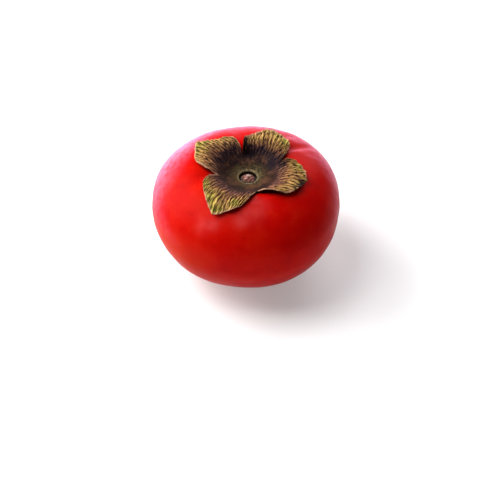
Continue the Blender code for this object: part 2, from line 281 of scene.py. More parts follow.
def skin_rings():
    """Rings of points from the bottom of the bowl over the shoulder, and down into the dimple below."""
    azimuth = np.arange(SKIN_SIDES) * 360.0 / SKIN_SIDES
    turn = np.radians(azimuth)
    flat_angle = math.asin(FLAT_RADIUS / FRUIT_RADIUS)
    above = evenly_spaced_radii(skin_height, 0.0, math.pi / 2, SKIN_RINGS[0])[1:]
    below = evenly_spaced_radii(belly_height, math.pi / 2, flat_angle, SKIN_RINGS[1])[1:-1]
    rings = []
    for height_at, shares in ((skin_height, above), (belly_height, below)):
        for share in shares:
            radius = share * plan_radius(azimuth)
            x, y = radius * np.cos(turn), radius * np.sin(turn)
            rings.append(np.stack((x, y, height_at(x, y)), axis=1))
    inner = [DIMPLE_RADIUS * (1.0 - step / DIMPLE_RINGS) for step in range(DIMPLE_RINGS)]
    for radius in [FLAT_RADIUS, (FLAT_RADIUS + DIMPLE_RADIUS) / 2] + inner:
        rise = 0.5 + 0.5 * math.cos(math.pi * min(radius / DIMPLE_RADIUS, 1.0))
        height = np.full_like(turn, DIMPLE_DEPTH * rise)
        rings.append(np.stack((radius * np.cos(turn), radius * np.sin(turn), height), axis=1))
    return rings


def skin_swells(points):
    """How far the skin stands out. Swellings fade out at the flat spot and under the calyx."""
    from_axis = np.hypot(points[:, 0], points[:, 1])
    upper = points[:, 2] > EQUATOR_HEIGHT
    free = np.where(upper, smooth_step(24.0, 32.0, from_axis), smooth_step(1.0, 8.0, points[:, 2]))
    swell = free * sum(height * noise_at(points, width, seed) for height, width, seed in SWELLS)
    azimuth = np.degrees(np.arctan2(points[:, 1], points[:, 0]))
    beside = turn_between(azimuth, WRINKLE_AZIMUTH) / WRINKLE_SPREAD
    along = (from_axis - WRINKLE_MIDDLE) / WRINKLE_LENGTH
    ripple = noise_at(np.stack((azimuth / 7.0, from_axis / 9.0, azimuth * 0), axis=1), 1.0, 15.0)
    return swell + WRINKLE_HEIGHT * bell(beside) * bell(along) * upper * (ripple - 0.3)


def make_skin():
    points = np.concatenate(skin_rings())
    outward = points - (0.0, 0.0, EQUATOR_HEIGHT * 0.9)
    outward /= np.linalg.norm(outward, axis=1, keepdims=True)
    points = points + outward * skin_swells(points)[:, None]
    rings = points.reshape(-1, SKIN_SIDES, 3)
    bowl_bottom = (0.0, 0.0, float(skin_height(0.0, 0.0)))
    points, faces = closed_rings(rings, bowl_bottom, (0.0, 0.0, DIMPLE_DEPTH))
    # Where soft highlights are painted on the skin.
    painted_gloss = sum(bell(np.linalg.norm(points - (x, y, z), axis=1) / radius) for x, y, z, radius in PAINTED_GLOSS_SPOTS)
    return object_from("fruit_skin", points, faces, {"painted_gloss": np.clip(painted_gloss, 0.0, 1.0)})


# The calyx

def bent(start, control, end, share):
    start, control, end = (np.asarray(p, dtype=float) for p in (start, control, end))
    share = share[..., None]
    return start * (1 - share) ** 2 + 2 * control * share * (1 - share) + end * share**2


def base_places(index, side):
    """Places on the line from one notch to the next, along which a lobe leaves the disc."""
    start = np.asarray(NOTCHES[index]) - STALK
    end = np.asarray(NOTCHES[(index + 1) % 4]) - STALK
    first = math.degrees(math.atan2(start[1], start[0]))
    turn = (math.degrees(math.atan2(end[1], end[0])) - first) % 360.0
    azimuth = np.radians(first + turn * side)
    radius = np.hypot(*start) + (np.hypot(*end) - np.hypot(*start)) * side
    return STALK + np.stack((radius * np.cos(azimuth), radius * np.sin(azimuth)), axis=-1)


def lobe_places(index, side, out):
    """Places (x, y) on a lobe. side runs from its right edge to its left, and out from disc to margin."""
    right_notch, left_notch = np.asarray(NOTCHES[index]), np.asarray(NOTCHES[(index + 1) % 4])
    right_low, right_high, tip, left_high, left_low = (np.asarray(p) for p in LOBES[index]["edge"])
    right_shoulder, left_shoulder = (right_low + right_high) / 2, (left_low + left_high) / 2
    right = bent(right_notch, right_low, right_shoulder, out)
    left = bent(left_notch, left_low, left_shoulder, out)
    first_half = bent(right_shoulder, right_high, tip, np.clip(side * 2, 0, 1))
    second_half = bent(tip, left_high, left_shoulder, np.clip(side * 2 - 1, 0, 1))
    margin = np.where(side[..., None] < 0.5, first_half, second_half)
    base = base_places(index, side)
    s, t = side[..., None], out[..., None]
    corners = (
        (1 - t) * (1 - s) * right_notch + (1 - t) * s * left_notch
        + t * (1 - s) * right_shoulder + t * s * left_shoulder
    )
    return (1 - t) * base + t * margin + (1 - s) * right + s * left - corners


def lobe_lifts(index, side, out):
    lobe = LOBES[index]
    across = 2 * side - 1
    edge = np.where(across > 0, lobe["left_lift"], lobe["right_lift"])
    swing = np.sin(lobe["waves"] * math.pi * across + lobe["phase"]) + 1
    wave = lobe["wave_height"] * swing * out**1.5
    rise = lobe["middle_lift"] * np.sin(math.pi * out) + lobe["tip_lift"] * out**2 * (1 - np.abs(across))
    sides = edge * np.abs(across) ** 2.2 * np.sin(0.8 * math.pi * out)
    return np.maximum(rise + wave + sides, 0.0)


def bitten(index, side, out):
    """Pulls the margin in by small nibbles and teeth, so that the dry edge is ragged."""
    around = side * 26.0 + index * 40.0
    teeth = noise_over(around, np.full_like(around, 3.1), scale=0.7, seed=index + 2.0)
    nibbles = noise_over(around, np.full_like(around, 7.7), scale=2.6, seed=index + 5.0)
    bite = 0.035 * np.abs(teeth) + 0.05 * np.maximum(nibbles, 0.0)
    along = out * 18.0 + index * 31.0
    side_teeth = noise_over(along, np.where(side > 0.5, 11.0, 4.0), scale=0.9, seed=index + 9.0)
    side_bite = 0.05 * np.abs(side_teeth) * smooth_step(0.15, 0.5, out)
    new_out = out * (1 - bite * out**6)
    new_side = 0.5 + (side - 0.5) * (1 - side_bite * np.abs(2 * side - 1) ** 12)
    return new_side, new_out


def calyx_grid(index):
    """One lobe and its slice of the disc as a grid of columns by rows: places, side, out and lift."""
    side_line = np.linspace(0.0, 1.0, LOBE_COLUMNS + 1)
    out_line = np.linspace(0.0, 1.0, LOBE_ROWS + 1)[1:]
    side, out = np.meshgrid(side_line, out_line, indexing="ij")
    lobe = lobe_places(index, *bitten(index, side, out))
    base = base_places(index, side_line)
    reach = np.linalg.norm(base - STALK, axis=1)[:, None]
    to_notch = np.linspace(0.0, 1.0, DISC_ROWS - len(DISC_RADII) + 1)[1:]
    inner = np.broadcast_to(np.array(DISC_RADII), (len(side_line), len(DISC_RADII)))
    radii = np.concatenate((inner, inner[:, -1:] + (reach - inner[:, -1:]) * to_notch), axis=1)
    disc = STALK + (base - STALK)[:, None, :] * (radii / reach)[..., None]
    places = np.concatenate((disc, lobe), axis=1)
    sides = np.concatenate((np.broadcast_to(side_line[:, None], radii.shape), side), axis=1)
    outs = np.concatenate((radii / reach - 1.0, out), axis=1)
    lifts = np.concatenate((np.zeros(radii.shape), lobe_lifts(index, side, out)), axis=1)
    return places, sides, outs, lifts


def ridges(x):
    """Narrow crests one unit apart, from 0 between them to 1 on them."""
    return (1.0 - np.abs(np.sin(math.pi * x))) ** 1.3


def ribs(index, side, out):
    """How strongly a rib stands up, from 0 in a furrow to 1 on a crest. Ribs part on their way out."""
    drift = 0.10 * noise_over(side * 3.0, out * 2.2, seed=index + 20.0)
    drift += 0.035 * noise_over(side * 10.0, out * 7.0, seed=index + 26.0)
    fan = (2 * side - 1) * (1 - 0.12 * (1 - out)) + drift
    coarse = ridges(fan * RIBS_ACROSS / 2 + 0.3)
    fine = ridges(fan * RIBS_ACROSS + 0.1) * smooth_step(0.2, 0.7, out)
    strength = 0.75 + 0.8 * noise_over(side * 11.0, out * 3.5, seed=index + 33.0)
    fine_strength = 0.6 + 0.9 * noise_over(side * 23.0, out * 5.0, seed=index + 38.0)
    return np.clip(coarse * strength + fine * fine_strength * 0.7, 0.0, 1.0)


def cover(patches, x, y):
    """How deep inside any of the patches a point lies, from 0 to 1, with uneven outlines."""
    bent_x = x + 1.5 * noise_over(x, y, scale=2.2, seed=70.0, detail=3)
    bent_y = y + 1.5 * noise_over(x, y, scale=2.2, seed=77.0, detail=3)
    deep = sum(bell(np.hypot(bent_x - at_x, bent_y - at_y) / radius) for at_x, at_y, radius in patches)
    return np.clip(deep * 1.2, 0.0, 1.0)


def leaf_thickness(from_stalk, margin_share):
    slope = np.where(from_stalk < COLLAR_RADIUS, COLLAR_INNER_SLOPE, COLLAR_OUTER_SLOPE)
    leaf = LEAF_THICKNESS - MARGIN_THINNING * margin_share
    return leaf + COLLAR_HEIGHT * bell((from_stalk - COLLAR_RADIUS) / slope)


def leaf_sheet(index):
    """The upper and lower face of one lobe with its slice of the disc, and what its looks go by."""
    places, side, out, lift = calyx_grid(index)
    x, y = places[..., 0], places[..., 1]
    from_stalk = np.hypot(x - STALK[0], y - STALK[1])
    on_lobe = np.clip(out, 0.0, 1.0)
    from_middle = np.abs(2 * side - 1)
    margin = np.maximum(on_lobe**8, from_middle**10 * smooth_step(0.0, 0.3, out))
    edge = np.maximum(smooth_step(0.93, 0.99, out), smooth_step(0.94, 0.99, from_middle))
    # The ribs start a little way inside the notches and fade out on the disc.
    fade = smooth_step(-0.12, 0.3, out)
    rib = ribs(index, side, on_lobe) * fade
    buckle = noise_over(x, y, scale=3.2, seed=50.0) * on_lobe * fade
    crumple = noise_over(x, y, scale=1.1, seed=57.0, detail=3)
    relief = RIB_HEIGHT * rib + BUCKLE_HEIGHT * buckle + CRUMPLE_HEIGHT * crumple
    relief = relief + ROLL_HEIGHT * cover(ROLLED_PATCHES, x, y) * margin
    curl = margin * (0.2 + 0.7 * noise_over(x, y, scale=2.2, seed=61.0))
    for at_x, at_y, radius, height in CURLS:
        curl = curl + height * bell(np.hypot(x - at_x, y - at_y) / radius)
    under = np.maximum(GAP + lift + curl, LOWEST_GAP)
    skin, normal = np.stack((x, y, skin_height(x, y)), axis=-1), skin_normal(x, y)
    upper = skin + normal * (under + leaf_thickness(from_stalk, on_lobe) + relief)[..., None]
    lower = skin + normal * (under + RELIEF_BELOW * np.maximum(relief, -0.2))[..., None]
    looks = {
        "reach": out,
        "rib": rib,
        "edge": edge * smooth_step(0.0, 0.2, out),
        "stalk": from_stalk / 10.0,
        "dark": cover(DARK_PATCHES, x, y) * smooth_step(6.0, 9.5, from_stalk),
        "green": cover(GREEN_PATCHES, x, y),
        # Painted highlight on the margins that curl up.
        "pale": cover(MARGIN_HIGHLIGHT_PATCHES, x, y) * np.maximum(margin, edge),
        "across": side + 5.0 * index,
    }
    return upper, lower, looks


def number_vertices(columns, rows):
    """Vertex numbers for the four grids after the middle's, and which vertices each grid adds.

    Neighbouring lobes share the spoke that runs from the stalk to the notch between them.
    """
    numbers, added, total = [], [], 1
    for index in range(4):
        number = np.zeros((columns, rows), dtype=int)
        fresh = np.ones((columns, rows), dtype=bool)
        if index > 0:
            number[0, :DISC_ROWS] = numbers[index - 1][-1, :DISC_ROWS]
            fresh[0, :DISC_ROWS] = False
        if index == 3:
            number[-1, :DISC_ROWS] = numbers[0][0, :DISC_ROWS]
            fresh[-1, :DISC_ROWS] = False
        amount = int(fresh.sum())
        number[fresh] = np.arange(total, total + amount)
        total += amount
        numbers.append(number)
        added.append(fresh)
    return numbers, added, total


def sheet_faces(number):
    """Triangles over one grid and from its first row to the middle."""
    columns, rows = number.shape
    faces = []
    for column in range(columns - 1):
        right, left = number[column].tolist(), number[column + 1].tolist()
        faces.append((0, right[0], left[0]))
        for row in range(rows - 1):
            a, b, c, d = right[row], right[row + 1], left[row + 1], left[row]
            faces += [(a, b, d), (b, c, d)] if column < columns // 2 else [(a, b, c), (a, c, d)]
    return faces


def wall_faces(number, total):
    """The thin wall along a lobe's margin, from notch to notch."""
    right, tip, left = number[0, DISC_ROWS - 1:], number[1:, -1], number[-1, DISC_ROWS - 1:-1][::-1]
    rim = np.concatenate((right, tip, left)).tolist()
    return [(b, a, a + total, b + total) for a, b in zip(rim, rim[1:])]


def make_calyx():
    """The dry calyx: ribbed and buckled above, smoother below, and ragged at its margins."""
    sheets = [leaf_sheet(index) for index in range(4)]
    numbers, added, total = number_vertices(*sheets[0][0].shape[:2])
    centre = np.array((*STALK, float(skin_height(*STALK))))
    uppers = [[centre + (0, 0, GAP + float(leaf_thickness(0.0, 0.0)))]]
    lowers = [[centre + (0, 0, GAP)]]
    values = {name: [[0.0]] for name in sheets[0][2]}
    values["reach"] = [[-1.0]]
    for (upper, lower, looks), fresh in zip(sheets, added):
        uppers.append(upper[fresh])
        lowers.append(lower[fresh])
        for name, grid in looks.items():
            values[name].append(grid[fresh])
    above = [face for number in numbers for face in sheet_faces(number)]
    below = [tuple(i + total for i in reversed(face)) for face in above]
    walls = [face for number in numbers for face in wall_faces(number, total)]
    attributes = {name: np.tile(np.concatenate(grids), 2) for name, grids in values.items()}
    attributes["under"] = np.repeat((0.0, 1.0), total)
    return object_from("calyx_leaf", np.concatenate(uppers + lowers), above + below + walls, attributes)


# The stub and the style

def stub_top(x, y, share):
    """Height of the stub's broken top over its foot: a cluster of knobs with cracks between them."""
    flat = np.stack((x, y, x * 0), axis=1)
    knobs = sum(
        high * smooth_step(1.0, 0.55, np.hypot(x - at_x, y - at_y) / radius)
        for at_x, at_y, radius, high in STUB_KNOBS
    )
    fibres = 0.16 * noise_at(flat, 0.45, 6.0, 3) * (0.4 + share)
    cracks = 0.3 * (np.clip(np.abs(noise_at(flat, 1.3, 12.0)) * 7.0, 0.0, 1.0) - 1.0)
    worn_rim = 0.35 * smooth_step(0.88, 1.0, share)
    return STUB_HEIGHT * 0.55 + knobs + cracks + fibres - worn_rim


def make_stub():
    """The broken woody stub in the collar."""
    turn = np.arange(STUB_SIDES) * 2 * math.pi / STUB_SIDES
    around = STALK[:, None] + STUB_RADIUS * np.stack((np.cos(turn), np.sin(turn)))
    foot = float(skin_height(*around).max()) + GAP + LEAF_THICKNESS + STUB_SEAT
    outline = STUB_RADIUS * (1 + 0.05 * np.cos(2 * turn + 0.5) + 0.03 * np.cos(5 * turn))
    outline += 0.07 * noise_at(np.stack((np.cos(turn) * 3, np.sin(turn) * 3, turn * 0), axis=1), 1.0, 4.0)
    rings, shares = [], []
    for share in np.linspace(0.03, 1.0, STUB_RINGS):
        x, y = outline * share * np.cos(turn), outline * share * np.sin(turn)
        rings.append(np.stack((x, y, stub_top(x, y, share)), axis=1))
        shares.append(np.full(STUB_SIDES, share))
    for share, level in STUB_FOOT:
        x, y = outline * share * np.cos(turn), outline * share * np.sin(turn)
        rings.append(np.stack((x, y, np.full(STUB_SIDES, level * STUB_HEIGHT)), axis=1))
        shares.append(np.full(STUB_SIDES, 1.05))
    top = (0.0, 0.0, float(rings[0][:, 2].mean()))
    points, faces = closed_rings(rings, top, (0.0, 0.0, 0.0))
    attributes = {"share": np.concatenate(shares + [[0.0, 1.0]]), "level": points[:, 2]}
    return object_from("stalk_stub", points + (*STALK, foot), faces, attributes)


def make_style():
    """The withered style in the dimple under the fruit."""
    turn = np.arange(STYLE_SIDES) * 2 * math.pi / STYLE_SIDES
    upper_end = DIMPLE_DEPTH - STYLE_GAP
    rings = []
    for level, width in STYLE_PROFILE:
        wrinkle = 1 + 0.18 * np.cos(4 * turn + level * 3) + 0.08 * np.cos(9 * turn)
        x, y = width * wrinkle * np.cos(turn) + STYLE_LEAN * level, width * wrinkle * np.sin(turn)
        rings.append(np.stack((x, y, np.full(STYLE_SIDES, upper_end - level)), axis=1))
    points, faces = closed_rings(rings, (0, 0, upper_end + 0.02), (STYLE_LEAN, 0, upper_end - 1.03))
    return object_from("style_remnant", points, faces)


# Materials. Colours are linear red, green and blue.

DEEP_RED = (0.47, 0.0008, 0.0003)
WARM_RED = (0.52, 0.004, 0.0009)
LIGHT_MOTTLE = (0.60, 0.016, 0.003)
DARK_MOTTLE = (0.36, 0.0008, 0.0006)
SPECK = (0.60, 0.05, 0.012)
SCUFF = (0.20, 0.02, 0.008)
# Painted light: the lighter orange of the flank that the light falls on.
LIT_FLANK_ORANGE = (0.56, 0.024, 0.004)
# Painted shade: the deeper red low down and on the side away from the light.
PAINTED_SHADE_RED = (0.25, 0.0012, 0.0008)
# Painted highlight: the pale pink of the soft highlights painted on the skin.
PAINTED_GLOSS_PINK = (1.0, 0.25, 0.24)
RUSSET = (0.13, 0.035, 0.012)
# Painted reflection: the pink of the sheen painted at the skin's outline.
PAINTED_RIM_PINK = (1.0, 0.27, 0.48)

# The ground between the ribs is dark partly by the leaf's own colour and partly as painted shade in the
# furrows.
# The leaf's ground and its ribs' crests from the stalk to the tips, as (share of the way, colour).
GROUND_STOPS = (
    (0.0, (0.034, 0.020, 0.008)), (0.35, (0.020, 0.008, 0.005)), (0.50, (0.026, 0.009, 0.007)),
    (0.72, (0.055, 0.018, 0.009)), (1.0, (0.10, 0.045, 0.009)),
)
CREST_STOPS = (
    (0.0, (0.06, 0.035, 0.014)), (0.45, (0.10, 0.040, 0.022)), (0.62, (0.44, 0.190, 0.135)),
    (0.80, (0.60, 0.275, 0.11)), (1.0, (0.80, 0.48, 0.14)),
)
GREEN_GROUND = (0.11, 0.095, 0.006)
GREEN_CREST = (0.62, 0.55, 0.10)
# Partly the leaf's own dark colour and partly painted shade in the furrows.
FURROW_TONE_AND_SHADE = (0.022, 0.009, 0.006)
DRIED_BLACK = (0.010, 0.005, 0.009)
# The margins' own pale line, and the painted highlight of the curled margins.
PALE_EDGE_AND_HIGHLIGHT = (0.66, 0.36, 0.22)
BOWL_STREAK = (0.115, 0.050, 0.022)
DARK_OLIVE = (0.016, 0.012, 0.005)
LIGHT_OLIVE = (0.115, 0.085, 0.034)
COLLAR_CREST = (0.24, 0.18, 0.095)
# Painted shade: the near black of the gap between the collar and the stub.
PIT_PAINTED_SHADE = (0.010, 0.006, 0.005)
# Painted shade: the dark of the underside beneath the lifted lobes.
UNDERSIDE_PAINTED_SHADE = (0.022, 0.010, 0.006)

BROWN_WOOD = (0.16, 0.060, 0.014)
PINKISH_WOOD = (0.34, 0.105, 0.105)
PALE_GRAIN = (0.42, 0.27, 0.20)
# Painted highlight: the pale glint on the highest knobs.
PAINTED_GLINT = (0.85, 0.62, 0.50)
# Painted shade: the black of the low places between the knobs.
PAINTED_CRACK_SHADE = (0.010, 0.003, 0.003)
# Painted shade: the dark of the stub's rim and sides, in the gap round it.
STUB_SIDE_PAINTED_SHADE = (0.020, 0.010, 0.006)

DARK_STYLE = (0.012, 0.008, 0.006)
LIGHT_STYLE = (0.07, 0.04, 0.024)

WHITE = (1.0, 1.0, 1.0)
PINKISH_WHITE = (1.0, 0.94, 1.0)
FLOOR_TONES = ((0.70, 0.70, 0.70), (0.72, 0.72, 0.72))


class Shader:
    """A short way to write one material's nodes. Inputs are numbers, colours or other nodes' outputs."""

    def __init__(self, name):
        self.material = bpy.data.materials.new(name)
        self.material.use_nodes = True
        self.nodes, self.links = self.material.node_tree.nodes, self.material.node_tree.links
        self.surface = self.nodes["Principled BSDF"]
        self.place = self.nodes.new("ShaderNodeTexCoord").outputs["Object"]

    def set(self, node, socket, value):
        if isinstance(value, bpy.types.NodeSocket):
            self.links.new(value, node.inputs[socket])
        else:
            node.inputs[socket].default_value = value

    def noise(self, scale, detail=3.0, roughness=0.55, place=None):
        """Noise from 0 to 1, with features of about the given size in millimetres."""
        node = self.nodes.new("ShaderNodeTexNoise")
        self.links.new(place or self.place, node.inputs["Vector"])
        node.inputs["Scale"].default_value = 1.0 / (scale * MM)
        node.inputs["Detail"].default_value = detail
        node.inputs["Roughness"].default_value = roughness
        return node.outputs["Fac"]

    def cells(self, scale):
        """Distance to the nearest of scattered points, one in each cell of the given size in mm."""
        node = self.nodes.new("ShaderNodeTexVoronoi")
        self.links.new(self.place, node.inputs["Vector"])
        node.inputs["Scale"].default_value = 1.0 / (scale * MM)
        return node.outputs["Distance"]

    def stretched(self, x, y, z):
        node = self.nodes.new("ShaderNodeMapping")
        self.links.new(self.place, node.inputs["Vector"])
        node.inputs["Scale"].default_value = (x, y, z)
        return node.outputs["Vector"]

    def facing(self):
        """From 0 where the surface faces the viewer to 1 at its outline."""
        return self.nodes.new("ShaderNodeLayerWeight").outputs["Facing"]

    def coordinate(self, axis):
        """One coordinate of the place in millimetres."""
        parts = self.nodes.new("ShaderNodeSeparateXYZ")
        self.links.new(self.place, parts.inputs[0])
        return self.math("DIVIDE", parts.outputs[axis], MM)

    def from_axis(self):
        """Distance from the fruit's upright axis in millimetres."""
        x, y = self.coordinate("X"), self.coordinate("Y")
        return self.math("SQRT", self.math("ADD", self.both(x, x), self.both(y, y)))

    def vector(self, x, x_scale, y, y_scale):
        """A flat place made of two numbers, each multiplied by its own scale."""
        node = self.nodes.new("ShaderNodeCombineXYZ")
        self.links.new(self.both(x, x_scale), node.inputs["X"])
        self.links.new(self.both(y, y_scale), node.inputs["Y"])
        return node.outputs["Vector"]

    def attribute(self, name):
        node = self.nodes.new("ShaderNodeAttribute")
        node.attribute_name = name
        return node.outputs["Fac"]

    def ramp(self, value, low, high, to_low=0.0, to_high=1.0):
        node = self.nodes.new("ShaderNodeMapRange")
        node.interpolation_type = "SMOOTHSTEP"
        sockets = ("Value", "From Min", "From Max", "To Min", "To Max")
        for socket, given in zip(sockets, (value, low, high, to_low, to_high)):
            self.set(node, socket, given)
        return node.outputs["Result"]

    def math(self, operation, a, b=0.0, clamp=False):
        node = self.nodes.new("ShaderNodeMath")
        node.operation = operation
        node.use_clamp = clamp
        self.set(node, 0, a)
        self.set(node, 1, b)
        return node.outputs[0]

    def both(self, a, b, clamp=False):
        """The product of two shares."""
        return self.math("MULTIPLY", a, b, clamp)

    def mix(self, share, a, b):
        node = self.nodes.new("ShaderNodeMix")
        node.data_type = "RGBA"
        self.set(node, "Factor", share)
        sockets = [socket for socket in node.inputs if socket.type == "RGBA"]
        for socket, value in zip(sockets, (a, b)):
            if isinstance(value, bpy.types.NodeSocket):
                self.links.new(value, socket)
            else:
                socket.default_value = (*value, 1.0)
        return next(socket for socket in node.outputs if socket.type == "RGBA")

    def colours(self, value, *stops):
        node = self.nodes.new("ShaderNodeValToRGB")
        self.links.new(value, node.inputs["Fac"])
        elements = node.color_ramp.elements
        while len(elements) < len(stops):
            elements.new(0.5)
        for element, (position, colour) in zip(elements, stops):
            element.position = position
            element.color = (*colour, 1.0)
        return node.outputs["Color"]

    def bump(self, height, depth):
        node = self.nodes.new("ShaderNodeBump")
        self.links.new(height, node.inputs["Height"])
        node.inputs["Distance"].default_value = depth * MM
        self.links.new(node.outputs["Normal"], self.surface.inputs["Normal"])

    def finish(self, colour, roughness):
        self.set(self.surface, "Base Color", colour)
        self.set(self.surface, "Roughness", roughness)
        return self.material


def ripe_reds(skin, mottle):
    """Deep red with lighter and darker mottles, faint specks and a few brown scuffs."""
    colour = skin.mix(skin.ramp(skin.noise(26.0, detail=2.0), 0.35, 0.7), DEEP_RED, WARM_RED)
    colour = skin.mix(skin.ramp(mottle, 0.45, 0.75, 0.0, 0.45), colour, LIGHT_MOTTLE)
    colour = skin.mix(skin.ramp(mottle, 0.46, 0.30, 0.0, 0.40), colour, DARK_MOTTLE)
    specks = skin.ramp(skin.cells(1.6), 0.06, 0.16, 1.0, 0.0)
    specks = skin.both(specks, skin.ramp(skin.noise(4.0), 0.5, 0.65, 0.0, 0.35))
    colour = skin.mix(specks, colour, SPECK)
    streaks = skin.noise(5.0, detail=8.0, roughness=0.7, place=skin.stretched(1.0, 1.0, 3.0))
    return skin.mix(skin.both(skin.ramp(streaks, 0.66, 0.74), 0.3), colour, SCUFF)


def painted_light_and_shade(skin, colour):
    """Painted light on the lit flank, lighter and more orange; painted shade, a deeper red, low down and on
    the far side.
    """
    x, z = skin.coordinate("X"), skin.coordinate("Z")
    # Painted light: the flank that the light falls on is lighter and more orange.
    lit_flank = skin.both(skin.ramp(x, -8.0, -32.0), skin.ramp(z, 44.0, 26.0))
    colour = skin.mix(skin.both(lit_flank, 0.8), colour, LIT_FLANK_ORANGE)
    # Painted shade: the red is deeper low down and on the side away from the light.
    low = skin.both(skin.ramp(z, 6.0, 36.0, 0.85, 0.0), skin.ramp(x, -24.0, 24.0, 0.45, 1.0))
    return skin.mix(skin.math("ADD", low, skin.ramp(x, 0.0, 34.0, 0.0, 0.12)), colour, PAINTED_SHADE_RED)


def painted_gloss_spots(skin, colour):
    """Painted highlights: soft pale pink spots on the skin."""
    painted_gloss = skin.both(skin.attribute("painted_gloss"), skin.ramp(skin.noise(5.0, detail=2.0), 0.3, 0.7, 0.5, 1.0))
    return skin.mix(skin.both(painted_gloss, 0.11), colour, PAINTED_GLOSS_PINK)


def dimple_cracks(skin, colour):
    """Russet cracks that run into the dimple round the style."""
    cracks = skin.ramp(skin.noise(1.3, detail=6.0, roughness=0.75), 0.50, 0.60)
    cracks = skin.both(cracks, skin.ramp(skin.coordinate("Z"), 8.0, 2.0))
    return skin.mix(skin.both(cracks, skin.ramp(skin.from_axis(), 7.5, 2.0, 0.0, 0.8)), colour, RUSSET)


def painted_rim_sheen(skin, colour):
    """A painted pinkish sheen at the outline of the upper half, standing in for a rim reflection; it
    reaches further in at the sides than at the back.
    """
    x = skin.coordinate("X")
    outline = skin.math("ADD", skin.facing(), skin.ramp(x, -34.0, -6.0, 0.10, -0.10))
    outline = skin.math("ADD", outline, skin.ramp(x, 10.0, 34.0, -0.07, -0.04))
    rim_sheen = skin.both(skin.ramp(outline, 0.34, 0.97), skin.ramp(skin.coordinate("Z"), 30.0, 46.0))
    patchy = skin.noise(2.4, detail=5.0, roughness=0.7)
    rim_sheen = skin.both(rim_sheen, skin.ramp(patchy, 0.34, 0.6, 0.45, 1.1))
    rim_sheen = skin.both(rim_sheen, skin.ramp(x, -40.0, -24.0, 0.65, 1.0))
    # Painted reflection: a pinkish sheen at the outline.
    return skin.mix(rim_sheen, colour, PAINTED_RIM_PINK)


def skin_material():
    """Waxy red skin, with a soft gloss and very fine pores, and painted light, shade, highlights and rim
    sheen in its colour.
    """
    skin = Shader("waxy_red_skin")
    mottle = skin.noise(7.0, detail=4.0, roughness=0.6)
    colour = ripe_reds(skin, mottle)
    for layer in (painted_light_and_shade, painted_gloss_spots, dimple_cracks, painted_rim_sheen):
        colour = layer(skin, colour)
    pores = skin.noise(0.9, detail=2.0)
    skin.bump(skin.math("ADD", skin.both(pores, 0.35), skin.both(mottle, 0.9)), 0.10)
    skin.surface.inputs["Subsurface Weight"].default_value = 0.05
    skin.surface.inputs["Subsurface Radius"].default_value = (1.0, 0.25, 0.1)
    skin.surface.inputs["Subsurface Scale"].default_value = 2.0 * MM
    skin.surface.inputs["Specular IOR Level"].default_value = 0.025
    return skin.finish(colour, skin.ramp(skin.noise(9.0, detail=5.0), 0.3, 0.7, 0.30, 0.40))


def leaf_colours(leaf, blotch, fine):
    """Colours of the ground and of the ribs' crests, which are partly still green at the tips."""
    shifted = leaf.math("ADD", leaf.attribute("reach"), leaf.ramp(blotch, 0.25, 0.75, -0.2, 0.2))
    spread = leaf.ramp(shifted, -1.0, 1.0)
    green = leaf.both(leaf.attribute("green"), leaf.ramp(fine, 0.36, 0.58, 0.35, 1.0))
    ground = leaf.mix(green, leaf.colours(spread, *GROUND_STOPS), GREEN_GROUND)
    return ground, leaf.mix(green, leaf.colours(spread, *CREST_STOPS), GREEN_CREST)


def ribbed(leaf, fibre, ground, crest):
    """Light ribs and dark furrows, broken up by fibres that run along them; the furrows are dark partly by
    the leaf's own colour and partly as painted shade.
    """
    on_lobe = leaf.ramp(leaf.attribute("reach"), -0.15, 0.15)
    rib = leaf.both(leaf.attribute("rib"), leaf.ramp(fibre, 0.30, 0.62, 0.25, 1.15), clamp=True)
    stray = leaf.both(leaf.ramp(fibre, 0.52, 0.70, 0.0, 0.55), on_lobe)
    colour = leaf.mix(leaf.math("MAXIMUM", rib, stray), ground, crest)
    # Dark along the fibres between the ribs: partly the leaf's own colour, partly painted shade.
    return leaf.mix(leaf.both(leaf.ramp(fibre, 0.40, 0.49, 1.0, 0.0), on_lobe), colour, FURROW_TONE_AND_SHADE)


def dark_and_pale_places(leaf, colour, fibre, fine):
    """Patches that dried nearly black, the thin pale line of the margins, and painted highlights on the
    margins that curl up.
    """
    dark = leaf.attribute("dark")
    shaded = leaf.both(dark, leaf.ramp(fibre, 0.40, 0.65, 1.1, 0.6), clamp=True)
    colour = leaf.mix(shaded, colour, DRIED_BLACK)
    line = leaf.both(leaf.attribute("edge"), leaf.ramp(fine, 0.35, 0.6, 0.25, 0.9))
    # The pale edge line, with the painted highlights of the curled margins.
    pale = leaf.math("MAXIMUM", line, leaf.attribute("pale"))
    return leaf.mix(leaf.both(pale, leaf.ramp(dark, 0.1, 0.5, 1.0, 0.0)), colour, PALE_EDGE_AND_HIGHLIGHT)


